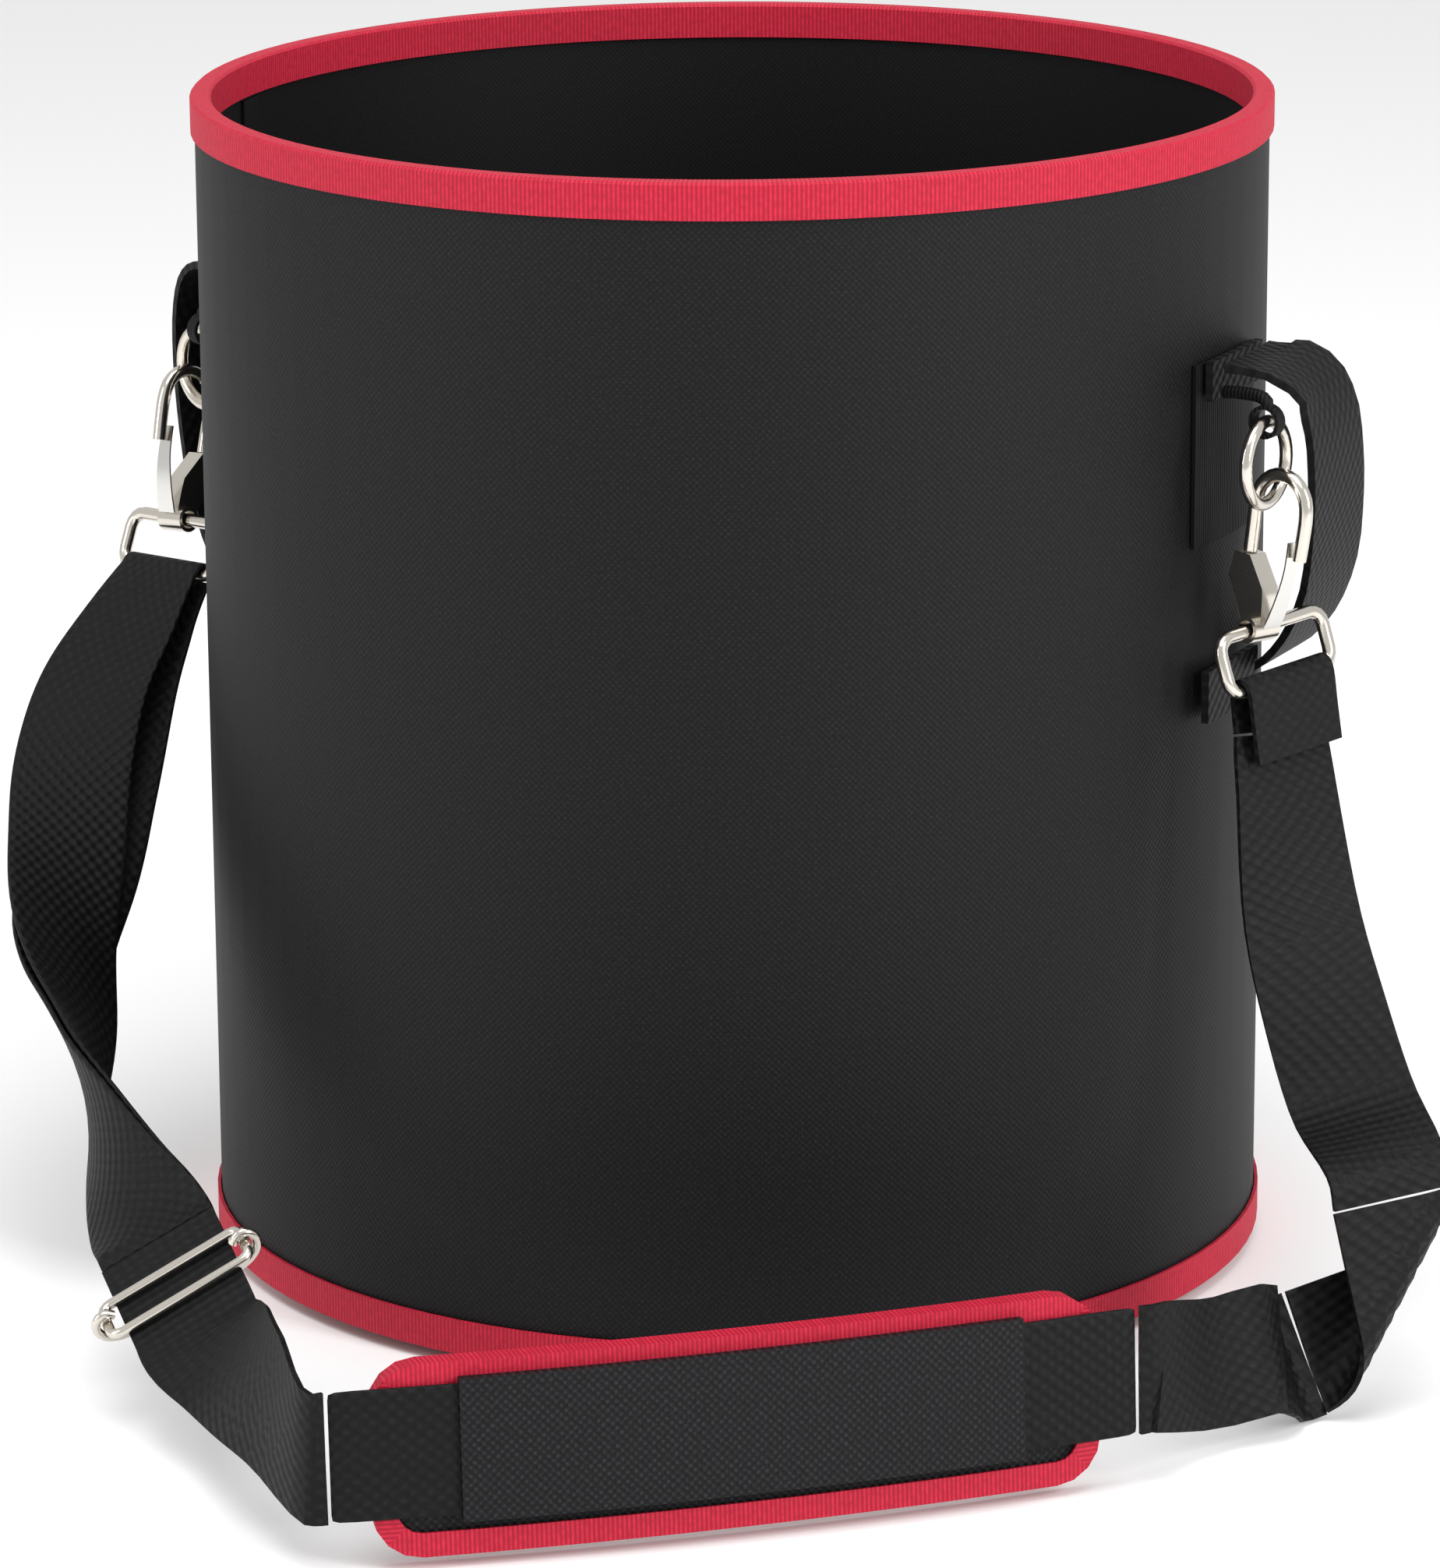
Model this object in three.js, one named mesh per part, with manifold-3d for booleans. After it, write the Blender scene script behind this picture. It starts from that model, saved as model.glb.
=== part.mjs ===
// A round fabric garden tool bag: a stiffened drum with taped edges, two webbing
// side handles, and a padded shoulder strap clipped to a ring on each side.
// Millimetres, +Z up, origin at the centre of the base. The strap and its pad
// lie in front of the bag, toward -Y.
import * as THREE from 'three';
import { mergeVertices } from 'three/addons/utils/BufferGeometryUtils.js';
import Module from 'manifold-3d';

// ---- driving dimensions -------------------------------------------------
const BAG_RADIUS = 165;
const BAG_HEIGHT = 361;
const FABRIC = 1.0;
const GAP = 0.3;
const BOARD = 1.5;
const TAPE = 1.0;
const TAPE_FACE = 11;
const BASE_INSET = 8;

const STRAP_WIDTH = 38;
const STRAP_THICK = 1.6;
const STRAP_AT_BAR = 36.4;
const LAYER_PITCH = STRAP_THICK + GAP;

const WIRE = 2.1;
const BAR_WRAP = WIRE + GAP + STRAP_THICK / 2 + 0.15;
const RING_RADIUS = 12.5;
const RING_WIRE = 2;

const LOOP_HALF = 22.4;
const LOOP_DROP = 17;
const LOOP_CORNER = 5;

const HOOK_BEND = 9.8;
const HOOK_OFFSET = 3;
const HOOK_RISE = 38.1;
const HOOK_BODY_TOP = 22;

const PAD_LENGTH = 214;
const PAD_WIDTH = 56;
const PAD_CORNER = 14;
const PAD_THICK = 6.3;
const PAD_TAPE_FACE = 7;
const PAD_BEND = 900;
const SLEEVE_LENGTH = 164;
const SLEEVE_HALF = 20.7;
const STRAP_OFF_PAD = 2.1;
const PAD_STRAP_RISE = 3;
const PAD_RUN = 119;

const PATCH_HALF = 22;
const PATCH_BOTTOM = 236;
const PATCH_TOP = 292;

const up = new THREE.Vector3(0, 0, 1);
const vec = (x, y, z) => new THREE.Vector3(x, y, z);
const radians = THREE.MathUtils.degToRad;
const heading = (azimuth, elevation = 0) => vec(
  Math.cos(radians(elevation)) * Math.cos(radians(azimuth)),
  Math.cos(radians(elevation)) * Math.sin(radians(azimuth)),
  Math.sin(radians(elevation)),
);
const along = (point, ...steps) => steps.reduce(
  (sum, [direction, length]) => sum.addScaledVector(direction, length),
  point.clone(),
);

// ---- materials ----------------------------------------------------------
const finish = (color, roughness, metalness = 0) =>
  new THREE.MeshStandardMaterial({ color, roughness, metalness });
const oxford = finish(0x17171b, 0.75);
const lining = finish(0x202024, 0.8);
const fibreboard = finish(0x6b5a48, 0.9);
const redTape = finish(0xc8203f, 0.7);
const webbing = finish(0x141416, 0.8);
const foam = finish(0x1b1b1f, 0.85);
const nickel = finish(0xcfcac2, 0.22, 1);
const springSteel = finish(0xe2e0dc, 0.3, 1);

const bag = new THREE.Group();
function addPart(name, geometry, material, parent = bag) {
  const mesh = new THREE.Mesh(geometry, material);
  mesh.name = name;
  parent.add(mesh);
  return mesh;
}

// ---- solids -------------------------------------------------------------
const wasm = await Module();
wasm.setup();

function toManifold(geometry) {
  const plain = geometry.clone();
  plain.deleteAttribute('normal');
  plain.deleteAttribute('uv');
  const merged = mergeVertices(plain, 1e-4);
  return new wasm.Manifold(new wasm.Mesh({
    numProp: 3,
    vertProperties: new Float32Array(merged.attributes.position.array),
    triVerts: new Uint32Array(merged.index.array),
  }));
}

function fromManifold(solid) {
  const mesh = solid.getMesh();
  const geometry = new THREE.BufferGeometry();
  geometry.setAttribute('position', new THREE.BufferAttribute(mesh.vertProperties, 3));
  geometry.setIndex(new THREE.BufferAttribute(mesh.triVerts, 1));
  return geometry;
}

const join = (first, ...others) => fromManifold(
  others.reduce((sum, geometry) => sum.add(toManifold(geometry)), toManifold(first)),
);
const cut = (first, second) => fromManifold(toManifold(first).subtract(toManifold(second)));

// Skins a row of rings that all have the same number of points. Open rows are
// closed by caps, given as triangles of ring points in rising order.
function skin(rings, caps = null) {
  const count = rings[0].length;
  const positions = rings.flat().flatMap((p) => [p.x, p.y, p.z]);
  const faces = [];
  const spans = caps ? rings.length - 1 : rings.length;
  for (let i = 0; i < spans; i += 1) {
    const here = i * count;
    const there = ((i + 1) % rings.length) * count;
    for (let j = 0; j < count; j += 1) {
      const k = (j + 1) % count;
      faces.push(here + j, here + k, there + k, here + j, there + k, there + j);
    }
  }
  if (caps) {
    const last = (rings.length - 1) * count;
    for (const [a, b, c] of caps) {
      faces.push(a, c, b, last + a, last + b, last + c);
    }
  }
  let volume = 0;
  for (let i = 0; i < faces.length; i += 3) {
    const [a, b, c] = [0, 1, 2].map((k) => vec(...positions.slice(3 * faces[i + k], 3 * faces[i + k] + 3)));
    volume += a.dot(b.cross(c));
  }
  if (volume < 0) faces.reverse();
  const geometry = new THREE.BufferGeometry();
  geometry.setAttribute('position', new THREE.Float32BufferAttribute(positions, 3));
  geometry.setIndex(faces);
  return geometry;
}

// A round wire along a closed flat outline.
function wireLoop(points, normal, radius, sides = 8) {
  const rings = points.map((point, i) => {
    const before = points[(i + points.length - 1) % points.length];
    const after = points[(i + 1) % points.length];
    const side = after.clone().sub(before).normalize().cross(normal);
    return Array.from({ length: sides }, (_, k) => {
      const turn = (2 * Math.PI * k) / sides;
      return along(point, [side, radius * Math.cos(turn)], [normal, radius * Math.sin(turn)]);
    });
  });
  return skin(rings);
}

// A round wire along an open curve.
function wire(points, radius, steps, sides = 8) {
  const section = new THREE.Shape();
  section.absarc(0, 0, radius, 0, 2 * Math.PI);
  return new THREE.ExtrudeGeometry(section, {
    steps,
    curveSegments: sides,
    extrudePath: new THREE.CatmullRomCurve3(points, false, 'centripetal'),
  });
}

function roundedLoop(halfWide, halfHigh, corner, steps = 4) {
  const centres = [
    [halfWide - corner, halfHigh - corner],
    [corner - halfWide, halfHigh - corner],
    [corner - halfWide, corner - halfHigh],
    [halfWide - corner, corner - halfHigh],
  ];
  return centres.flatMap(([x, y], quarter) => Array.from({ length: steps + 1 }, (_, k) => {
    const turn = ((quarter + k / steps) * Math.PI) / 2;
    return new THREE.Vector2(x + corner * Math.cos(turn), y + corner * Math.sin(turn));
  }));
}

// ---- webbing ------------------------------------------------------------
// A webbing run is a list of rows; each row has points across the strap's
// middle surface, from its top or inner edge to the other.
function rowNormal(rows, i, j) {
  const down = rows[Math.min(i + 1, rows.length - 1)][j].clone().sub(rows[Math.max(i - 1, 0)][j]);
  const over = rows[i][Math.min(j + 1, rows[0].length - 1)].clone().sub(rows[i][Math.max(j - 1, 0)]);
  return down.cross(over).normalize();
}
const offsetRows = (rows, off) => rows.map((row, i) =>
  row.map((point, j) => along(point, [rowNormal(rows, i, j), off])));

function sheet(rows, thick = STRAP_THICK) {
  const across = rows[0].length;
  const face = offsetRows(rows, thick / 2);
  const back = offsetRows(rows, -thick / 2);
  const rings = rows.map((_, i) => [...face[i], ...back[i].reverse()]);
  const caps = [];
  for (let j = 0; j < across - 1; j += 1) {
    const far = 2 * across - 2 - j;
    caps.push([j, j + 1, far], [j, far, far + 1]);
  }
  return skin(rings, caps);
}

// Stations are [centre, width direction, width]; the rows between them follow a
// smooth curve, and each width direction is squared up to the curve.
function ribbonRows(stations, steps, across = 3) {
  const centres = new THREE.CatmullRomCurve3(stations.map(([centre]) => centre), false, 'centripetal');
  const sides = new THREE.CatmullRomCurve3(stations.map(([, side]) => side), false, 'centripetal');
  const widths = stations.map(([, , width = STRAP_WIDTH]) => width);
  return Array.from({ length: steps + 1 }, (_, i) => {
    const t = i / steps;
    const at = t * (stations.length - 1);
    const low = Math.min(Math.floor(at), stations.length - 2);
    const width = THREE.MathUtils.lerp(widths[low], widths[low + 1], at - low);
    const tangent = centres.getTangent(t);
    const side = sides.getPoint(t);
    side.addScaledVector(tangent, -side.dot(tangent)).normalize();
    return Array.from({ length: across }, (_, k) =>
      along(centres.getPoint(t), [side, width * (k / (across - 1) - 0.5)]));
  });
}

// ---- drum ---------------------------------------------------------------
function drum() {
  const lathe = (profile, segments = 72) => {
    const points = profile.map(([r, z]) => new THREE.Vector2(r, z));
    const onAxis = profile[0][0] === 0;
    if (!onAxis) points.push(points[0].clone());
    return new THREE.LatheGeometry(points, segments).rotateX(Math.PI / 2);
  };
  const tube = (inner, thick, bottom, top) => lathe([
    [inner, bottom], [inner + thick, bottom], [inner + thick, top], [inner, top],
  ]);
  const disc = (radius, bottom, top) => lathe([[0, bottom], [radius, bottom], [radius, top], [0, top]]);

  const wallTop = BAG_HEIGHT - TAPE - 2 * GAP;
  const outerIn = BAG_RADIUS - FABRIC;
  const boardIn = outerIn - GAP - BOARD;
  const liningIn = boardIn - GAP - 0.8;
  const tapeIn = BAG_RADIUS + GAP;
  const tapeOut = tapeIn + TAPE;
  const tapeInner = liningIn - GAP - TAPE;
  const panelTop = TAPE + GAP + FABRIC;
  const boardTop = panelTop + GAP + 2;
  const floorTop = boardTop + GAP + 0.8;

  addPart('outer_wall', tube(outerIn, FABRIC, TAPE + GAP, wallTop), oxford);
  addPart('wall_board', tube(boardIn, BOARD, boardTop + GAP, wallTop), fibreboard);
  addPart('lining_wall', tube(liningIn, 0.8, floorTop + GAP, wallTop), lining);
  addPart('base_panel', lathe([
    [0, 0],
    [BAG_RADIUS - BASE_INSET, 0],
    [BAG_RADIUS - BASE_INSET, TAPE + GAP],
    [outerIn - GAP, TAPE + GAP],
    [outerIn - GAP, panelTop],
    [0, panelTop],
  ]), oxford);
  addPart('base_board', disc(outerIn - GAP, panelTop + GAP, boardTop), fibreboard);
  addPart('base_lining', disc(liningIn - GAP, boardTop + GAP, floorTop), lining);
  addPart('top_binding', lathe([
    [tapeInner, BAG_HEIGHT - TAPE_FACE],
    [tapeInner + TAPE, BAG_HEIGHT - TAPE_FACE],
    [tapeInner + TAPE, wallTop + GAP],
    [tapeIn, wallTop + GAP],
    [tapeIn, BAG_HEIGHT - TAPE_FACE],
    [tapeOut, BAG_HEIGHT - TAPE_FACE],
    [tapeOut, BAG_HEIGHT - 0.8],
    [tapeOut - 0.8, BAG_HEIGHT],
    [tapeInner + 0.8, BAG_HEIGHT],
    [tapeInner, BAG_HEIGHT - 0.8],
  ], 96), redTape);
  addPart('bottom_binding', lathe([
    [BAG_RADIUS - BASE_INSET + GAP, 0],
    [tapeOut - 0.5, 0],
    [tapeOut, 0.5],
    [tapeOut, TAPE_FACE],
    [tapeIn, TAPE_FACE],
    [tapeIn, TAPE],
    [BAG_RADIUS - BASE_INSET + GAP, TAPE],
  ], 96), redTape);

  const seam = curvedPlate(tapeInner + 0.2, 0.8, floorTop + 1, BAG_HEIGHT - TAPE_FACE - 1, 188, 6);
  addPart('wall_seam_tape', seam, lining);
}

// A plate that follows the drum's curve, centred on an azimuth.
function curvedPlate(inner, thick, bottom, top, azimuth, halfWide) {
  const half = halfWide / inner;
  const outline = new THREE.Shape();
  outline.absarc(0, 0, inner + thick, -half, half, false);
  outline.absarc(0, 0, inner, half, -half, true);
  const plate = new THREE.ExtrudeGeometry(outline, {
    depth: top - bottom, bevelEnabled: false, curveSegments: 6,
  });
  return plate.rotateZ(radians(azimuth)).translate(0, 0, bottom);
}

// ---- side patches, handles ----------------------------------------------
const HANDLE_THICK = 2.4;
const FOOT_FACE = BAG_RADIUS + 3.0;
const HANDLE_CLEAR = BAG_RADIUS + 7.5;

// The arch leans back from the ring, so the hook hangs in front of it.
const rightArch = [
  [170, 0, 291.5], [184, 2, 290], [191.5, 6, 284.5], [195.6, 9, 274], [196.4, 12, 258],
  [194.4, 17, 239.5], [190, 23, 221], [183, 27, 206], [175, 29, 196], [168, 29, 191],
];
const FLOP = 30;

function handles() {
  const drumCore = new THREE.CylinderGeometry(HANDLE_CLEAR, HANDLE_CLEAR, 200, 48)
    .rotateX(Math.PI / 2).translate(0, 0, 240);
  const arch = (points, side) => cut(
    sheet(ribbonRows(points.map((point) => [point, side]), 22), HANDLE_THICK),
    drumCore,
  );
  const rightPoints = rightArch.map(([x, y, z]) => vec(x, y, z));
  addPart('handle_right', arch(rightPoints, vec(0, 1, 0)), webbing);

  // On the left the arch is pushed over toward the back of the bag.
  const lean = heading(180 - FLOP);
  const leftPoints = rightArch.map(([x, , z]) => along(vec(-BAG_RADIUS - 2, 0, z), [lean, x - BAG_RADIUS - 2]));
  addPart('handle_left', arch(leftPoints, vec(lean.y, -lean.x, 0)), webbing);

  for (const [name, sign] of [['right', 1], ['left', -1]]) {
    const azimuth = sign > 0 ? 0 : 180;
    addPart(`side_patch_${name}`, curvedPlate(
      BAG_RADIUS + GAP, 1.2, PATCH_BOTTOM, PATCH_TOP, azimuth, PATCH_HALF,
    ), webbing);
    const foot = (bottom, top) => new THREE.BoxGeometry(HANDLE_THICK, STRAP_WIDTH, top - bottom)
      .translate(sign * FOOT_FACE, 0, (bottom + top) / 2);
    addPart(`handle_foot_top_${name}`, foot(281, 293), webbing);
    addPart(`handle_foot_low_${name}`, foot(182, 198), webbing);
  }
}

// ---- rings, hooks and strap loops ---------------------------------------
// Each side's hardware hangs in its own frame: nose points the way the hook
// opens, bar runs along the strap loop's bars, and down points along the hook.
function sideFrame(noseAzimuth, lean, tube) {
  const down = lean.clone().normalize();
  const nose = heading(noseAzimuth);
  nose.addScaledVector(down, -nose.dot(down)).normalize();
  const bar = down.clone().negate().cross(nose);
  return { tube, nose, bar, down };
}
const rightSide = sideFrame(-19, vec(-0.106, -0.02, -0.994), vec(185.3, -20, 213.9));
const leftSide = sideFrame(252, vec(-0.007, -0.304, -0.953), vec(-190.8, -20.5, 209.5));

// Each ring stands across the hook that hangs in it.
const rightRing = { centre: vec(187.8, -22, 265), across: 84 };
const leftRing = { centre: vec(-185, -11, 258), across: -24 };

const place = (frame) => (x, y, z) => along(
  frame.tube, [frame.nose, x], [frame.bar, y], [frame.down, -z],
);

// The tab is webbing folded over the ring's top; its gathered neck runs back to
// the patch under the handle.
function ringAndTab(name, { centre, across }) {
  const torus = new THREE.TorusGeometry(RING_RADIUS, RING_WIRE, 10, 32)
    .rotateX(Math.PI / 2).rotateZ(radians(across)).translate(...centre);
  addPart(`ring_${name}`, torus, nickel);

  const top = along(centre, [up, RING_RADIUS]);
  const outline = new THREE.Shape();
  outline.absarc(0, 0, 5.1, 0, 2 * Math.PI);
  const hole = new THREE.Path();
  hole.absarc(0, 0, 3.9, 0, 2 * Math.PI, true);
  outline.holes.push(hole);
  const collar = new THREE.ExtrudeGeometry(outline, { depth: 4.4, bevelEnabled: false, curveSegments: 10 })
    .translate(0, 0, -2.2).rotateY(Math.PI / 2).rotateZ(radians(across)).translate(...top);
  const outward = Math.sign(centre.x);
  const neck = wire([
    vec(outward * (BAG_RADIUS + 7.2), top.y + 5, top.z + 6.4),
    vec(outward * (BAG_RADIUS + 11), top.y + 3.5, top.z + 7),
    vec(top.x - outward * 2, top.y + 0.6, top.z + 7),
    along(top, [up, 5.8]),
    along(top, [up, 4.3]),
  ], 2, 12, 6);
  addPart(`ring_tab_${name}`, join(collar, neck), webbing);
}

function hook(name, frame) {
  const at = place(frame);
  const shank = HOOK_OFFSET - HOOK_BEND;
  const nose = HOOK_OFFSET + HOOK_BEND;
  const bend = [30, 60, 90, 120, 150].map((turn) => at(
    HOOK_OFFSET - HOOK_BEND * Math.cos(radians(turn)), 0, HOOK_RISE + HOOK_BEND * Math.sin(radians(turn)),
  ));
  addPart(`hook_wire_${name}`, wire([
    at(shank, 0, HOOK_BODY_TOP + GAP), at(shank, 0, 31), at(shank, 0, HOOK_RISE),
    ...bend,
    at(nose, 0, HOOK_RISE), at(nose, 0, 31), at(nose - 0.4, 0, 24),
  ], WIRE, 26, 10), nickel);

  const basis = new THREE.Matrix4().makeBasis(frame.nose, frame.bar, frame.down.clone().negate());
  basis.setPosition(frame.tube);
  const outline = new THREE.Shape();
  outline.moveTo(-3.4, 0);
  outline.lineTo(3.4, 0);
  outline.quadraticCurveTo(3.6, 7, 2.6, 13);
  outline.lineTo(shank + 3, HOOK_BODY_TOP);
  outline.lineTo(shank - 3, HOOK_BODY_TOP);
  outline.lineTo(shank - 4.4, 14);
  outline.quadraticCurveTo(-5.5, 6, -3.4, 0);
  const shell = new THREE.ExtrudeGeometry(outline, { depth: 7, bevelEnabled: false, curveSegments: 4 })
    .rotateX(Math.PI / 2).translate(0, 3.5, 0);
  const barrel = new THREE.CylinderGeometry(4.1, 4.1, 11, 16);
  const bore = new THREE.CylinderGeometry(2.9, 2.9, 20, 16);
  addPart(`hook_body_${name}`, cut(join(shell, barrel), bore).applyMatrix4(basis), nickel);

  const leaf = ribbonRows([
    [at(5.0, 0, 1.5), frame.bar, 7.6], [at(6.6, 0, 6), frame.bar, 7.4], [at(8.6, 0, 14), frame.bar, 6.4],
    [at(9.5, 0, 21), frame.bar, 5.4], [at(9.4, 0, 29), frame.bar, 4.8],
  ], 8, 2);
  addPart(`hook_gate_${name}`, sheet(leaf, 0.5), springSteel);
}

// The strap loop is a rounded wire rectangle: its top bar turns in the hook's
// barrel and the webbing folds over its lower bar.
function strapLoop(name, tube, bar, shift, hang) {
  const drop = hang.clone().addScaledVector(bar, -hang.dot(bar)).normalize();
  const middle = along(tube, [bar, shift], [drop, LOOP_DROP / 2]);
  const points = roundedLoop(LOOP_HALF, LOOP_DROP / 2, LOOP_CORNER)
    .map(({ x, y }) => along(middle, [bar, x], [drop, y]));
  const normal = bar.clone().cross(drop).normalize();
  addPart(`strap_loop_${name}`, wireLoop(points, normal, WIRE, 10), nickel);
  return along(middle, [drop, LOOP_DROP / 2]);
}

// ---- shoulder pad -------------------------------------------------------
// The pad is bent round an axis that leans back a little from the vertical.
const padAlong = heading(43.2);
const padLean = radians(4);
const padUp = heading(133.2).multiplyScalar(Math.sin(padLean)).addScaledVector(up, Math.cos(padLean));
const padOut = padAlong.clone().cross(padUp);
const padMiddle = vec(129.6, -251.4, 28.6);
const padAxis = along(padMiddle, [padOut, -PAD_BEND]);

function onPad(u, v, n) {
  const turn = u / PAD_BEND;
  return along(
    padAxis,
    [padOut, (PAD_BEND + n) * Math.cos(turn)],
    [padAlong, (PAD_BEND + n) * Math.sin(turn)],
    [padUp, v],
  );
}

function shoulderPad() {
  const steps = 24;
  const half = PAD_LENGTH / 2;
  const inset = 1.3;
  const cushionEnd = half - inset;
  const cushionRows = Array.from({ length: steps + 1 }, (_, i) => {
    const u = cushionEnd * Math.sin((Math.PI / 2) * (2 * i / steps - 1));
    const past = Math.max(0, Math.abs(u) - (half - PAD_CORNER));
    const corner = PAD_CORNER - inset;
    const high = PAD_WIDTH / 2 - PAD_CORNER + Math.sqrt(Math.max(0, corner ** 2 - past ** 2));
    return [-1, -0.5, 0, 0.5, 1].map((k) => onPad(u, k * high, -PAD_THICK / 2 + 0.45));
  });
  addPart('pad_cushion', sheet(cushionRows, PAD_THICK - 2.4), foam);

  const section = [
    [0, 0.9], [PAD_TAPE_FACE, 0.9], [PAD_TAPE_FACE, 0], [TAPE, 0],
    [TAPE, 0.9 - PAD_THICK], [PAD_TAPE_FACE, 0.9 - PAD_THICK],
    [PAD_TAPE_FACE, -PAD_THICK], [0, -PAD_THICK],
  ];
  const rim = section.map(([deep]) => padOutline(half - deep, PAD_WIDTH / 2 - deep, PAD_CORNER - deep));
  const rings = rim[0].map((_, i) => section.map(([, n], k) => onPad(rim[k][i].x, rim[k][i].y, n)));
  addPart('pad_binding', skin(rings), redTape);

  const tunnel = [
    [-SLEEVE_HALF, 1.3], [1.3 - SLEEVE_HALF, 1.3], [1.3 - SLEEVE_HALF, 3.3], [SLEEVE_HALF - 1.3, 3.3],
    [SLEEVE_HALF - 1.3, 1.3], [SLEEVE_HALF, 1.3], [SLEEVE_HALF, 4.3], [-SLEEVE_HALF, 4.3],
  ];
  const sleeveRings = Array.from({ length: 17 }, (_, i) =>
    tunnel.map(([v, n]) => onPad(SLEEVE_LENGTH * (i / 16 - 0.5), v + PAD_STRAP_RISE, n)));
  const caps = THREE.ShapeUtils.triangulateShape(tunnel.map(([v, n]) => new THREE.Vector2(v, n)), [])
    .map((corners) => corners.sort((a, b) => a - b));
  addPart('pad_sleeve', skin(sleeveRings, caps), oxford);
}

// The pad's outline with its long sides cut into short steps, so that it bends.
function padOutline(halfLong, halfHigh, corner) {
  const bend = 4;
  const side = 12;
  const points = [];
  const straight = halfLong - corner;
  for (let i = 1; i < side; i += 1) {
    points.push(new THREE.Vector2(straight * (2 * i / side - 1), -halfHigh));
  }
  const quarter = (x, y, from) => {
    for (let i = 0; i <= bend; i += 1) {
      const turn = radians(from + (90 * i) / bend);
      points.push(new THREE.Vector2(x + corner * Math.cos(turn), y + corner * Math.sin(turn)));
    }
  };
  quarter(straight, corner - halfHigh, -90);
  quarter(straight, halfHigh - corner, 0);
  for (let i = 1; i < side; i += 1) {
    points.push(new THREE.Vector2(straight * (1 - 2 * i / side), halfHigh));
  }
  quarter(-straight, halfHigh - corner, 90);
  quarter(-straight, corner - halfHigh, 180);
  return points;
}

// ---- strap --------------------------------------------------------------
// The strap turns back on itself in one soft diagonal fold on the floor at the
// right. folded() wraps the flat strap half way round a slanting cylinder.
const FOLD_RADIUS = 9;
const FOLD_START = -36;
const FOLD_END = 30;
const foldIn = vec(0.314, -0.176, -0.93).normalize();
const foldOut = vec(-0.639, -0.729, -0.2).normalize();
const foldAxis = foldIn.clone().add(foldOut).normalize();
const foldSide = foldIn.clone().sub(foldOut).normalize();
const foldFace = foldSide.clone().cross(foldAxis);
const foldMiddle = vec(254.5, -76.5, 27);

function folded(s, t) {
  const rise = foldIn.dot(foldAxis);
  const run = foldIn.dot(foldSide);
  const around = run * s - rise * t;
  const quarter = (Math.PI / 2) * FOLD_RADIUS;
  const turn = THREE.MathUtils.clamp(around, -quarter, quarter) / FOLD_RADIUS;
  const past = Math.max(0, Math.abs(around) - quarter);
  return along(
    foldMiddle,
    [foldAxis, rise * s + run * t],
    [foldSide, FOLD_RADIUS * (Math.cos(turn) - 1) - past],
    [foldFace, FOLD_RADIUS * Math.sin(turn)],
  );
}

// The slider sits on a straight stretch of the doubled strap.
const sliderAt = vec(-63.5, -238, 36);
const sliderRun = vec(0.7, -0.65, -0.3).normalize();
const sliderSide = heading(224, -31);
sliderSide.addScaledVector(sliderRun, -sliderSide.dot(sliderRun)).normalize();
const sliderFace = sliderSide.clone().cross(sliderRun);
const SLIDER_STRAIGHT = 24;
const onSlider = (run, side, face) => along(
  sliderAt, [sliderRun, run], [sliderSide, side], [sliderFace, face],
);

const station = ([x, y, z, azimuth, elevation]) => [vec(x, y, z), heading(azimuth, elevation)];

// Centre of the webbing, then the way its width points.
const rightRun = [
  [192.2, -18.2, 182, 249, -4], [195.6, -21.9, 168.8, 246, -4], [205.1, -30.2, 128.8, 230, -6],
  [216.6, -38.9, 103, 220, -9], [229.6, -49.1, 81, 213, -12],
].map(station);
const frontRun = [[232, -112, 23.5, 312, -72], [221, -130, 23, 316, -77]].map(station);
const leftOuterRun = [
  [-196, -44, 180, -10, -4], [-198, -63, 163, 4, -6], [-193, -84, 143, 24, -6],
  [-182, -106, 125, 42, -8], [-168.5, -130.5, 106, 62, -16],
].map(station);
const leftLowRun = [
  [-154, -147, 89, 82, -26], [-138, -168, 75, 108, -38], [-119, -188, 62, 145, -48],
  [-100, -205, 51, 186, -45],
].map(station);
const leftFrontRun = [
  [-30, -268, 30, 236, -48], [-13, -286, 32.5, 248, -60], [4, -303, 34, 264, -70],
].map(station);

// The turn of webbing round a bar, from the face side over the top to the back.
function barTurn(bar, face, side) {
  const rise = face.clone().cross(side);
  if (rise.z < 0) rise.negate();
  return [0, 45, 90, 135, 180].map((turn) => [along(
    bar, [face, BAR_WRAP * Math.cos(radians(turn))], [rise, BAR_WRAP * Math.sin(radians(turn))],
  ), side, STRAP_AT_BAR]);
}

function square(direction, side) {
  return direction.clone().addScaledVector(side, -direction.dot(side)).normalize();
}

function strapRight(bar, barAlong) {
  const side = barAlong.clone().negate();
  const out = square(heading(-19, 8), side);
  const turn = barTurn(bar, out, side);
  const down = Math.sign(out.clone().cross(side).z);
  const [low, ...rest] = rightRun;
  const rows = ribbonRows([
    ...[22, 11].map((drop) => [along(turn[0][0], [out.clone().cross(side), -drop * down]), side, STRAP_AT_BAR]),
    ...turn,
    [low[0], low[1], STRAP_AT_BAR + 0.6],
    ...rest,
    [folded(FOLD_START - 10, 0), foldSideAt(FOLD_START)],
    [folded(FOLD_START, 0), foldSideAt(FOLD_START)],
  ], 56);
  const over = 31;
  addPart('strap_end_right', sheet(rows.slice(0, over)), webbing);
  addPart('strap_run_right', sheet(trimmed(rows.slice(over - 1))), webbing);
}

const foldSideAt = (s) => folded(s, 19).sub(folded(s, -19)).normalize();

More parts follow.
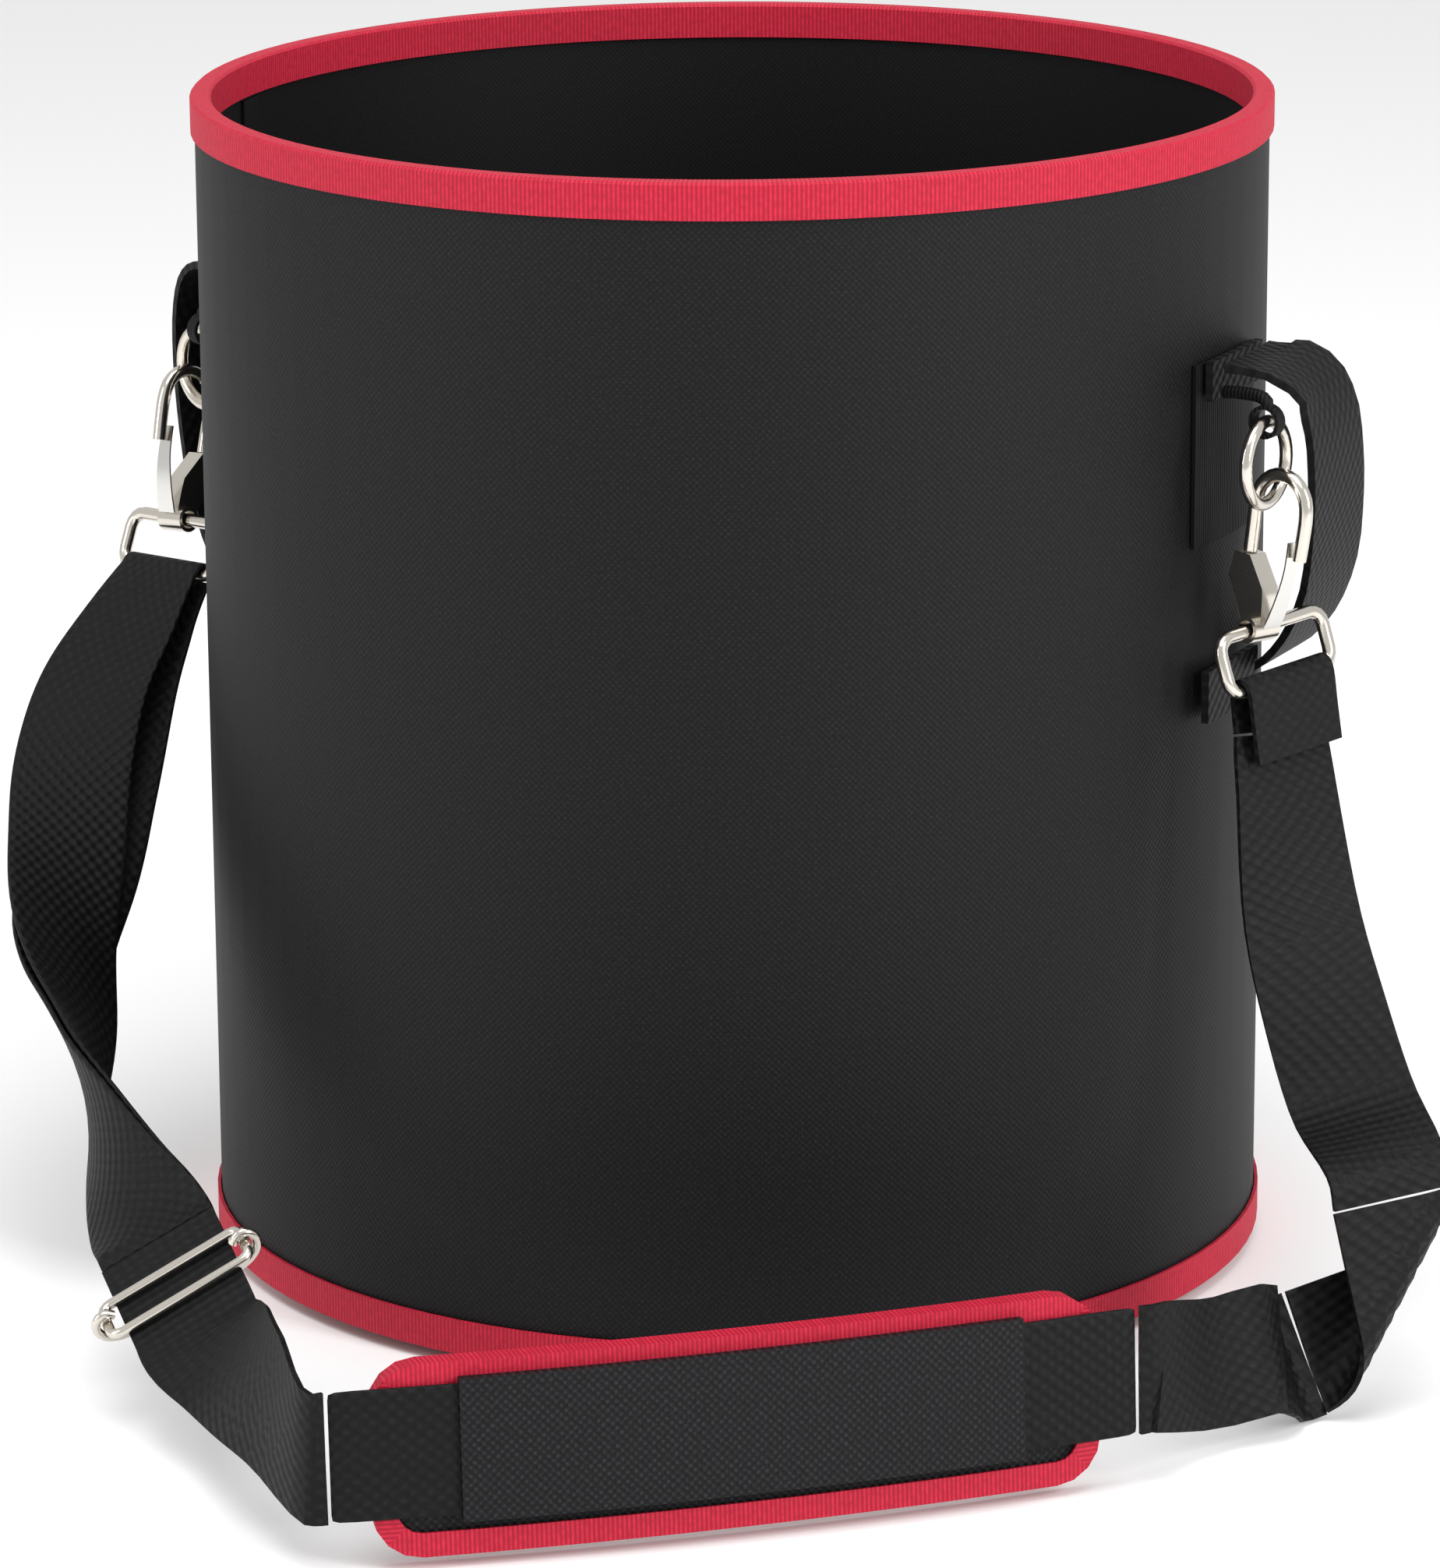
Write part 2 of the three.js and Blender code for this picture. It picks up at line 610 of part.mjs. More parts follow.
function strapFront() {
  const foldRows = Array.from({ length: 19 }, (_, i) => {
    const s = THREE.MathUtils.lerp(FOLD_START, FOLD_END, i / 18);
    return Array.from({ length: 9 }, (_, k) => folded(s, STRAP_WIDTH * (k / 8 - 0.5)));
  });
  addPart('strap_fold', sheet(trimmed(foldRows)), webbing);

  const padDown = padUp.clone().negate();
  const toPad = ribbonRows([
    [folded(FOLD_END, 0), foldSideAt(FOLD_END)],
    [folded(FOLD_END + 6, 0), foldSideAt(FOLD_END)],
    ...frontRun,
    [onPad(PAD_RUN + 6, PAD_STRAP_RISE, STRAP_OFF_PAD), padDown],
    [onPad(PAD_RUN, PAD_STRAP_RISE, STRAP_OFF_PAD), padDown],
  ], 14);
  addPart('strap_run_front', sheet(trimmed(toPad)), webbing);

  const padRows = Array.from({ length: 19 }, (_, i) =>
    [-1, 0, 1].map((k) => onPad(PAD_RUN * (1 - i / 9), PAD_STRAP_RISE - k * STRAP_WIDTH / 2, STRAP_OFF_PAD)));
  addPart('strap_run_pad', sheet(trimmed(padRows)), webbing);
}

// On the left the strap goes through the slider, up to the loop, over its lower
// bar, and back down in front of itself to the slider's middle bar.
function strapLeft(bar, barAlong) {
  const padDown = padUp.clone().negate();
  const past = ribbonRows([
    [onPad(-PAD_RUN, PAD_STRAP_RISE, STRAP_OFF_PAD), padDown],
    [onPad(-PAD_RUN - 5, PAD_STRAP_RISE, STRAP_OFF_PAD), padDown],
    ...[...leftFrontRun].reverse(),
    ...[1, 0.6, 0, -0.6, -1].map((k) => [onSlider(k * SLIDER_STRAIGHT, 0, 0), sliderSide]),
  ], 36);
  addPart('strap_run_left', sheet(trimmed(past)), webbing);

  const face = square(vec(-0.3, -0.85, 0.35), barAlong);
  const turn = barTurn(bar, face, barAlong);
  const steps = 44;
  const outerRows = ribbonRows([
    turn[0],
    ...leftOuterRun,
    ...leftLowRun.map(([centre, side]) => [along(centre, [up, -LAYER_PITCH]), side]),
    ...[-1.3, -1].map((k) => [onSlider(k * SLIDER_STRAIGHT - 2 * GAP, 0, -LAYER_PITCH), sliderSide]),
  ], steps);

  // The inner layer hangs clear of the outer one and closes onto it lower down.
  const barBack = turn.at(-1)[0].clone().sub(turn[0][0]);
  const innerRows = outerRows.map((row, i) => {
    const t = i / steps;
    const near = THREE.MathUtils.smoothstep(t, 0, 0.16);
    const slack = Math.sin(Math.PI * THREE.MathUtils.clamp(t / 0.6, 0, 1)) ** 2;
    const apart = THREE.MathUtils.lerp(2 * BAR_WRAP, LAYER_PITCH, THREE.MathUtils.smoothstep(t, 0.1, 0.6));
    const side = row[2].clone().sub(row[0]).normalize();
    return row.map((point, j) => {
      const loose = along(point, [rowNormal(outerRows, i, j), -apart - 7 * slack - 0.3 * Math.sin(Math.PI * t)], [side, 8 * slack]);
      return point.clone().add(barBack).lerp(loose, near);
    });
  });
  addPart('strap_inner_left', sheet(trimmed(innerRows, 5 * GAP)), webbing);

  const overBar = ribbonRows(turn, 12).reverse();
  const under = [-0.85, -0.7, -0.55, -0.4].map((k) => [-0.5, 0, 0.5].map((side) =>
    onSlider(k * SLIDER_STRAIGHT, side * STRAP_WIDTH, -LAYER_PITCH)));
  addPart('strap_outer_left', sheet([...overBar, ...outerRows.slice(1), ...under]), webbing);
}

// Trims a run's first row so that it stops just short of the piece before it.
function trimmed(rows, cut = 2.5 * GAP) {
  const [first, second, ...rest] = rows;
  const start = first.map((point, k) => {
    const step = second[k].clone().sub(point);
    return along(point, [step.clone().normalize(), Math.min(cut, step.length() / 2)]);
  });
  return [start, second, ...rest];
}

const BAR_LIFT = -(LAYER_PITCH + STRAP_THICK / 2 + GAP + 1.4);

function slider() {
  const halfWide = 23.4;
  const rod = 1.6;
  const lift = STRAP_THICK / 2 + GAP + rod;
  const points = roundedLoop(halfWide, 6.9, 3.2).map(({ x, y }) => onSlider(y, x, lift));
  addPart('slider_frame', wireLoop(points, sliderFace, rod, 10), nickel);

  const curl = (sign) => [
    [19, BAR_LIFT + 0.1], [22.5, BAR_LIFT + 0.9], [25.9, -1.2], [27, 2.7], [25.3, 5.7], [22.6, 6.2], [20.3, 4.3],
  ].map(([side, face]) => onSlider(0, sign * side, face));
  addPart('slider_bar', wire([
    ...curl(-1).reverse(), onSlider(0, -10, BAR_LIFT), onSlider(0, 10, BAR_LIFT), ...curl(1),
  ], 1.4, 48, 6), nickel);

  // The strap's own end turns round the middle bar and lies back under it.
  const round = [80, 40, 0, -40, -80].map((turn) => {
    const reach = 1.4 + GAP + STRAP_THICK / 2;
    return [onSlider(reach * Math.cos(radians(turn)), 0, BAR_LIFT + reach * Math.sin(radians(turn))), sliderSide, 36];
  });
  addPart('strap_end_left', sheet(ribbonRows([
    [onSlider(-7.6, 0, -LAYER_PITCH), sliderSide, 36],
    ...round,
    [onSlider(-8, 0, BAR_LIFT - 1.7), sliderSide, 36],
  ], 16)), webbing);
}

drum();
handles();
ringAndTab('right', rightRing);
ringAndTab('left', leftRing);
hook('right', rightSide);
hook('left', leftSide);
const rightBarAlong = heading(70, 3);
const leftBarAlong = heading(-18, 3);
const rightBar = strapLoop('right', rightSide.tube, rightBarAlong, 4.5, vec(0.3, -0.07, -0.95));
const leftBar = strapLoop('left', leftSide.tube, leftBarAlong, 1, vec(-0.15, -0.36, -0.92));
shoulderPad();
strapRight(rightBar, rightBarAlong);
strapFront();
strapLeft(leftBar, leftBarAlong);
slider();

export default bag;
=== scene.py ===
import math

import bmesh
import bpy
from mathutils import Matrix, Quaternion, Vector


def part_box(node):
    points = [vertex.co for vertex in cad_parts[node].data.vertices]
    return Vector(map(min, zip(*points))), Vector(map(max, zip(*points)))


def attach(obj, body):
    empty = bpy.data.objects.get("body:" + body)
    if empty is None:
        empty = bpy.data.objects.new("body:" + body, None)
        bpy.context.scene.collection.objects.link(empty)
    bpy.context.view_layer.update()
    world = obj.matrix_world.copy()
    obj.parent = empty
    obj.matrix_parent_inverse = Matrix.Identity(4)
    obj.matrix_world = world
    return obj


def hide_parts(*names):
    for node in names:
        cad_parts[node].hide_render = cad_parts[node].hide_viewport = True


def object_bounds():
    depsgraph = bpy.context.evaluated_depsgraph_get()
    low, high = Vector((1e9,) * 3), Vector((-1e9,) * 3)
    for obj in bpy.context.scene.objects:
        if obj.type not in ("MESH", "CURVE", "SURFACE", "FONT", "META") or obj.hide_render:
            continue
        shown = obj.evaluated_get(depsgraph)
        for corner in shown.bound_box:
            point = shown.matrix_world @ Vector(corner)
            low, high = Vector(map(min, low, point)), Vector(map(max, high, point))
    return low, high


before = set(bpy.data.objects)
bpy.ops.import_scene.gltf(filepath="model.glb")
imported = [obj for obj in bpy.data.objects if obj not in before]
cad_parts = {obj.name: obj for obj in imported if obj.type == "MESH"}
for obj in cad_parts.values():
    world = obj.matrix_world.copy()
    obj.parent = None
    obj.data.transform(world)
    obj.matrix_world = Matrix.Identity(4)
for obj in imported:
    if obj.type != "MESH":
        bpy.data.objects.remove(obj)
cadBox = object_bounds()
mm = 0.001
weldGap = 0.01 * mm
drumRadius = round(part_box("outer_wall")[1].x / mm)  # in millimetres

# camera, light and floor

studio = {
    "cameraAt": (0.9432, -1.8621, 0.7131),
    "cameraTo": (-0.0044, -0.0022, 0.1384),
    "lens": 157.43,
    "roll": -0.335,
    "floorSize": 30.0,
    "lights": [
        # name, place, aims at, width, height, watts
        ("keyRight", (2.3, -0.5, 1.3), (0, 0, 0.2), 0.5, 1.6, 42),
        ("fillLeft", (-1.5, -1.9, 1.1), (0, 0, 0.2), 0.5, 1.5, 22),
        ("overhead", (0.2, -0.6, 2.4), (0, 0, 0.1), 1.6, 1.6, 30),
    ],
}


def aim(obj, target):
    obj.rotation_mode = "QUATERNION"
    obj.rotation_quaternion = (Vector(target) - obj.location).to_track_quat("-Z", "Y")


def buildStudio(s):
    camera = bpy.data.objects.new("camera", bpy.data.cameras.new("camera"))
    bpy.context.scene.collection.objects.link(camera)
    camera.location = s["cameraAt"]
    aim(camera, s["cameraTo"])
    camera.rotation_quaternion = camera.rotation_quaternion @ Quaternion((0, 0, 1), math.radians(s["roll"]))
    camera.data.lens = s["lens"]
    camera.data.sensor_width = 36
    camera.data.clip_end = 100
    bpy.context.scene.camera = camera

    for name, place, target, width, height, watts in s["lights"]:
        lamp = bpy.data.objects.new(name, bpy.data.lights.new(name, "AREA"))
        bpy.context.scene.collection.objects.link(lamp)
        lamp.data.shape = "RECTANGLE"
        lamp.data.size = width
        lamp.data.size_y = height
        lamp.data.energy = watts
        lamp.location = place
        aim(lamp, target)

    world = bpy.data.worlds.new("studio")
    world.use_nodes = True
    world.node_tree.nodes["Background"].inputs[0].default_value = (1, 1, 1, 1)
    world.node_tree.nodes["Background"].inputs[1].default_value = 0.75
    bpy.context.scene.world = world
    bpy.context.scene.view_settings.view_transform = "Standard"

    deselect()
    bpy.ops.mesh.primitive_plane_add(size=s["floorSize"], location=(0, 0, cadBox[0][2] - 0.0003))
    floor = bpy.context.object
    floor.name = "studio_floor"
    floor.data.materials.append(plain("studioPaper", "F4F4F4", 0.9))


# small helpers


def deselect():
    if bpy.context.mode != "OBJECT":
        bpy.ops.object.mode_set(mode="OBJECT")
    bpy.ops.object.select_all(action="DESELECT")


def choose(obj):
    deselect()
    obj.select_set(True)
    bpy.context.view_layer.objects.active = obj


def linear(hexColour):
    parts = [int(hexColour[i:i + 2], 16) / 255 for i in (0, 2, 4)]
    return [c / 12.92 if c <= 0.04045 else ((c + 0.055) / 1.055) ** 2.4 for c in parts] + [1.0]


def addNode(material, kind, values=None, links=None, **settings):
    # values and links are keyed by input name or number; a link is (node, output)
    node = material.node_tree.nodes.new(kind)
    for key, value in settings.items():
        setattr(node, key, value)
    for key, value in (values or {}).items():
        node.inputs[key].default_value = value
    for key, (source, output) in (links or {}).items():
        material.node_tree.links.new(source.outputs[output], node.inputs[key])
    return node


def newMaterial(name):
    material = bpy.data.materials.new(name)
    material.use_nodes = True
    return material, material.node_tree.nodes["Principled BSDF"]


def plain(name, colour, roughness, metallic=0.0):
    material, shader = newMaterial(name)
    shader.inputs["Base Color"].default_value = linear(colour)
    shader.inputs["Roughness"].default_value = roughness
    shader.inputs["Metallic"].default_value = metallic
    return material


def ride(piece, body, slot, *nodes):
    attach(piece, body)
    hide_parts(*nodes)


# materials


def woven(name, s):
    # a painted highlight on the yarn crowns, in the base colour, over the cloth's own darker ground; pitch
    # is one whole wave, two yarns, in millimetres
    material, shader = newMaterial(name)
    uv = addNode(material, "ShaderNodeUVMap", uv_map="cloth")
    split = addNode(material, "ShaderNodeSeparateXYZ", links={0: (uv, 0)})
    waves = []
    for axis, pitch in enumerate(s["pitch"]):
        turn = addNode(material, "ShaderNodeMath", {1: 2 * math.pi / pitch}, {0: (split, axis)},
                       operation="MULTIPLY")
        waves.append(addNode(material, "ShaderNodeMath", links={0: (turn, 0)}, operation="SINE"))
    if s["weave"] == "plain":
        crownPaintedGlint = addNode(material, "ShaderNodeMath", links={0: (waves[0], 0), 1: (waves[1], 0)},
                        operation="MULTIPLY")
    else:
        crownPaintedGlint = waves[0]
    height = addNode(material, "ShaderNodeMapRange", {1: -1.0, 2: 1.0}, {0: (crownPaintedGlint, 0)})
    fleck = addNode(material, "ShaderNodeTexNoise", {"Scale": s["fleck"], "Detail": 2.0}, {0: (uv, 0)})
    paintedGlintLevel = addNode(material, "ShaderNodeMath", links={0: (height, 0), 1: (fleck, 0)}, operation="MULTIPLY")
    # the ramp paints the highlight on the crowns into the base colour, rising with crown height and random
    # noise
    ramp = addNode(material, "ShaderNodeValToRGB", links={0: (paintedGlintLevel, 0)})
    ramp.color_ramp.elements[0].position = s["groundTo"]
    ramp.color_ramp.elements[0].color = linear(s["ground"])
    ramp.color_ramp.elements[1].position = s["paintedGlintFrom"]
    ramp.color_ramp.elements[1].color = linear(s["crownPaintedGlint"])
    bump = addNode(material, "ShaderNodeBump", {"Strength": s["bump"], "Distance": s["depth"] * mm},
                   {"Height": (height, 0)})
    links = material.node_tree.links
    links.new(ramp.outputs[0], shader.inputs["Base Color"])
    links.new(bump.outputs[0], shader.inputs["Normal"])
    shader.inputs["Roughness"].default_value = s["roughness"]
    shader.inputs["Specular IOR Level"].default_value = s["gloss"]
    return material


def nickelPlate():
    # bright nickel over steel: mirror-like, faintly warm, with small uneven patches from barrel plating
    material, shader = newMaterial("nickelPlatedSteel")
    place = addNode(material, "ShaderNodeTexCoord")
    patch = addNode(material, "ShaderNodeTexNoise", {"Scale": 60.0, "Detail": 3.0}, {0: (place, "Object")})
    rough = addNode(material, "ShaderNodeMapRange", {3: 0.12, 4: 0.26}, {0: (patch, 0)})
    material.node_tree.links.new(rough.outputs[0], shader.inputs["Roughness"])
    shader.inputs["Base Color"].default_value = linear("D6D0C6")
    shader.inputs["Metallic"].default_value = 1.0
    return material


# in each cloth below the crown colour is a painted highlight on the yarn crowns; the ground colour is the
# cloth's own
# woven polyester, yarns 1.0 mm apart on the drum and 1.3 mm on the pad
oxford = woven("blackPolyesterOxford", {
    "weave": "plain", "pitch": (2.0, 2.0), "fleck": 0.9, "ground": "030304", "crownPaintedGlint": "1C1C20",
    "groundTo": 0.22, "paintedGlintFrom": 0.62, "bump": 0.5, "depth": 0.25, "roughness": 0.6, "gloss": 0.22})
sleeveCloth = woven("blackPadOxford", {
    "weave": "plain", "pitch": (2.6, 2.6), "fleck": 0.8, "ground": "040405", "crownPaintedGlint": "26262B",
    "groundTo": 0.2, "paintedGlintFrom": 0.6, "bump": 0.6, "depth": 0.3, "roughness": 0.6, "gloss": 0.22})
liningCloth = woven("blackLiningCloth", {
    "weave": "plain", "pitch": (1.6, 1.6), "fleck": 0.7, "ground": "040405", "crownPaintedGlint": "141417",
    "groundTo": 0.2, "paintedGlintFrom": 0.7, "bump": 0.3, "depth": 0.15, "roughness": 0.65, "gloss": 0.2})
# heavy polypropylene webbing: ribs 2.6 mm along and 2.1 mm across
webbing = woven("blackPolypropyleneWebbing", {
    "weave": "plain", "pitch": (5.2, 4.2), "fleck": 0.6, "ground": "030303", "crownPaintedGlint": "161618",
    "groundTo": 0.2, "paintedGlintFrom": 0.7, "bump": 0.8, "depth": 0.5, "roughness": 0.6, "gloss": 0.2})
blackTape = woven("blackGrosgrainTape", {
    "weave": "rib", "pitch": (1.35,), "fleck": 0.6, "ground": "030303", "crownPaintedGlint": "18181A",
    "groundTo": 0.2, "paintedGlintFrom": 0.7, "bump": 0.6, "depth": 0.3, "roughness": 0.65, "gloss": 0.2})
# crimson polyester grosgrain: fine cross ribs, with a painted highlight on their crowns
redTape = woven("crimsonGrosgrainTape", {
    "weave": "rib", "pitch": (1.35,), "fleck": 0.5, "ground": "9C0C26", "crownPaintedGlint": "C8203F",
    "groundTo": 0.1, "paintedGlintFrom": 0.6, "bump": 0.5, "depth": 0.2, "roughness": 0.65, "gloss": 0.3})
fibreboard = plain("greyFibreboard", "6B5A48", 0.9)
nickel = nickelPlate()
springSteel = plain("platedSpringSteel", "DAD8D4", 0.2, 1.0)
print("materials made")


# cloth coordinates, in millimetres


def writeUv(piece, rule):
    layer = piece.data.uv_layers.new(name="cloth")
    for face in piece.data.polygons:
        for loop in face.loop_indices:
            point = piece.data.vertices[piece.data.loops[loop].vertex_index].co
            layer.data[loop].uv = rule(point, face)


def angleBeside(x, y, faceX, faceY):
    # the angle at a corner, unwrapped beside the angle at its face's middle
    middle = math.atan2(faceY, faceX)
    angle = math.atan2(y, x)
    return angle + 2 * math.pi * round((middle - angle) / (2 * math.pi))


def roundDrum(point, face):
    return angleBeside(point.x, point.y, face.center.x, face.center.y) * drumRadius, point.z / mm


def roundEdge(point, face):
    angle = angleBeside(point.x, point.y, face.center.x, face.center.y)
    return angle * drumRadius, (point.z + math.hypot(point.x, point.y)) / mm


def flat(point, face):
    return point.x / mm, point.y / mm


def boxed(point, face):
    n = [abs(v) for v in face.normal]
    if n[2] >= max(n[0], n[1]):
        return point.x / mm, point.y / mm
    return (point.y if n[0] > n[1] else point.x) / mm, point.z / mm


# pieces that keep their sewn or formed shape


def refined(node, name, material, angle=40):
    # a welded copy of the solid, smoothly shaded
    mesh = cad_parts[node].data.copy()
    mesh.materials.clear()
    piece = bpy.data.objects.new(name, mesh)
    bpy.context.scene.collection.objects.link(piece)
    for layer in list(mesh.uv_layers):
        mesh.uv_layers.remove(layer)
    choose(piece)
    bpy.ops.mesh.customdata_custom_splitnormals_clear()
    bpy.ops.object.mode_set(mode="EDIT")
    bpy.ops.mesh.select_all(action="SELECT")
    bpy.ops.mesh.remove_doubles(threshold=weldGap)
    bpy.ops.object.mode_set(mode="OBJECT")
    bpy.ops.object.shade_smooth_by_angle(angle=math.radians(angle))
    mesh.materials.append(material)
    return piece


drum = [
    # node, piece, material, slot, cloth rule
    ("outer_wall", "wall_cloth", oxford, "oxford", roundDrum),
    ("lining_wall", "wall_lining", liningCloth, "lining", roundDrum),
    ("wall_seam_tape", "lining_seam_tape", liningCloth, "lining", roundDrum),
    ("base_panel", "base_cloth", oxford, "oxford", flat),
    ("base_lining", "base_lining_cloth", liningCloth, "lining", flat),
    ("top_binding", "rim_tape", redTape, "binding_tape", roundEdge),
    ("bottom_binding", "base_tape", redTape, "binding_tape", roundEdge),
    ("side_patch_right", "patch_cloth_right", blackTape, "webbing", roundDrum),
    ("side_patch_left", "patch_cloth_left", blackTape, "webbing", roundDrum),
    ("handle_foot_top_right", "handle_foot_top_cloth_right", webbing, "webbing", roundDrum),
    ("handle_foot_top_left", "handle_foot_top_cloth_left", webbing, "webbing", roundDrum),
    ("handle_foot_low_right", "handle_foot_low_cloth_right", webbing, "webbing", roundDrum),
    ("handle_foot_low_left", "handle_foot_low_cloth_left", webbing, "webbing", roundDrum),
    ("ring_tab_right", "ring_tab_cloth_right", blackTape, "webbing", boxed),
    ("ring_tab_left", "ring_tab_cloth_left", blackTape, "webbing", boxed),
]


def buildDrum():
    for node, name, material, slot, rule in drum:
        piece = refined(node, name, material)
        writeUv(piece, rule)
        ride(piece, "bag", slot, node)
    for node in ("wall_board", "base_board"):
        piece = refined(node, node + "_sheet", fibreboard)
        ride(piece, "bag", "board", node)


hardware = [
    # node, the body's name before its side, material, slot
    ("ring", "ring_", nickel, "nickel_steel"),
    ("hook_wire", None, nickel, "nickel_steel"),
    ("hook_body", None, nickel, "nickel_steel"),
    ("strap_loop", None, nickel, "nickel_steel"),
    ("hook_gate", "gate_", springSteel, "spring_steel"),
]


def buildHardware():
    for start, body, material, slot in hardware:
        for side in ("right", "left"):
            node = f"{start}_{side}"
            ride(refined(node, node + "_metal", material), body + side if body else "strap", slot, node)
    for node in ("slider_frame", "slider_bar"):
        ride(refined(node, node + "_metal", nickel), "slider", "nickel_steel", node)


# webbing

strapCloth = {
    "width": 38 * mm,
    "thick": 1.6 * mm,
    "across": (0.0, 0.035, 0.25, 0.5, 0.75, 0.965, 1.0),
    "sharp": 0.9,        # radians between the faces at a strap solid's own corners
    "thickTolerance": 0.3,
    "sideways": 0.7,
    "shadeAngle": 60,
}


def isSharp(edge):
    return len(edge.link_faces) == 2 and edge.calc_face_angle(0) > strapCloth["sharp"]


def follow(start, partner, across):
    # the corner line of a strap solid from one end to the other
    path = [start]
    while True:
        here = path[-1]
        onward = []
        for edge in here.link_edges:
            other = edge.other_vert(here)
            if other in path or other == partner or not isSharp(edge):
                continue
            step = (other.co - here.co).normalized()
            if len(path) > 1 or abs(step.dot(across)) < strapCloth["sideways"]:
                onward.append(other)
        if not onward:
            return path
        path.append(onward[0])
        if sum(isSharp(e) for e in path[-1].link_edges) > 2:
            return path


def sheetRows(node, width, thick, near):
    # the cross rows of a strap solid as (edge, middle, edge) centre points, and whether all were found
    form = bmesh.new()
    form.from_mesh(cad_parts[node].data)
    bmesh.ops.remove_doubles(form, verts=form.verts, dist=weldGap)
    form.normal_update()
    corners = {v for v in form.verts if sum(isSharp(e) for e in v.link_edges) > 2}
    ends = [e for e in form.edges if set(e.verts) <= corners and isSharp(e)
            and abs(e.calc_length() / thick - 1) < strapCloth["thickTolerance"]]

    def centre(edge):
        return (edge.verts[0].co + edge.verts[1].co) / 2

    left = min(ends, key=lambda e: (centre(e) - Vector(near)).length)
    others = [e for e in ends if e != left]
    right = min(others, key=lambda e: abs((centre(e) - centre(left)).length / width - 1))
    across = (centre(right) - centre(left)).normalized()
    tracks = [follow(edge.verts[k], edge.verts[1 - k], across) for edge in (left, right) for k in (0, 1)]
    steps = len(form.verts) // 6
    rows = []
    for i in range(min(len(t) for t in tracks)):
        a, b, c, d = (t[i].co for t in tracks)
        rows.append(((a + b) / 2, (a + b + c + d) / 4, (c + d) / 2))
    form.free()
    return rows, {len(t) for t in tracks} == {steps}


def webbingPiece(name, rows, thick, material):
    # a woven strap through the rows, with rounded selvedges; UV runs along and across in millimetres
    steps = strapCloth["across"]
    nx, ny = len(rows) - 1, len(steps) - 1
    deselect()
    bpy.ops.mesh.primitive_grid_add(x_subdivisions=nx, y_subdivisions=ny, size=2)
    piece = bpy.context.object
    piece.name = name
    piece.data.name = name
    length = [0.0]
    for a, b in zip(rows, rows[1:]):
        length.append(length[-1] + (b[1] - a[1]).length / mm)
    place = {}
    for vertex in piece.data.vertices:
        i = round((vertex.co.x + 1) / 2 * nx)
        j = round((vertex.co.y + 1) / 2 * ny)
        place[vertex.index] = (i, j)
        left, middle, right = rows[i]
        t = steps[j] * 2
        vertex.co = left.lerp(middle, t) if t < 1 else middle.lerp(right, t - 1)
    layer = piece.data.uv_layers[0]
    layer.name = "cloth"
    width = (rows[0][2] - rows[0][0]).length / mm
    for loop in piece.data.loops:
        i, j = place[loop.vertex_index]
        layer.data[loop.index].uv = (length[i], steps[j] * width)
    choose(piece)
    wall = piece.modifiers.new("wall", "SOLIDIFY")
    wall.thickness = thick
    wall.offset = 0
    soft = piece.modifiers.new("soft", "SUBSURF")
    soft.levels = soft.render_levels = 1
    bpy.ops.object.modifier_apply(modifier="wall")
    bpy.ops.object.modifier_apply(modifier="soft")
    bpy.ops.object.shade_smooth_by_angle(angle=math.radians(strapCloth["shadeAngle"]))
    piece.data.materials.append(material)
    return piece


def buildStraps():
    width, thick = strapCloth["width"], strapCloth["thick"]
    for node in ("strap_end_right", "strap_run_right", "strap_fold", "strap_run_front", "strap_run_pad",
                 "strap_run_left", "strap_inner_left", "strap_outer_left", "strap_end_left"):
        rows, whole = sheetRows(node, width, thick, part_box(node)[1])
        if whole:
            piece = webbingPiece(node + "_webbing", rows, thick, webbing)
        else:
            piece = refined(node, node + "_webbing", webbing, angle=50)
            writeUv(piece, boxed)
        ride(piece, "slider" if node == "strap_end_left" else "strap", "webbing", node)


handleArch = {
    "out": 0.158,
    "up": 0.242,
    "ribRadius": 42,      # in millimetres, where the ribs have their true pitch
}


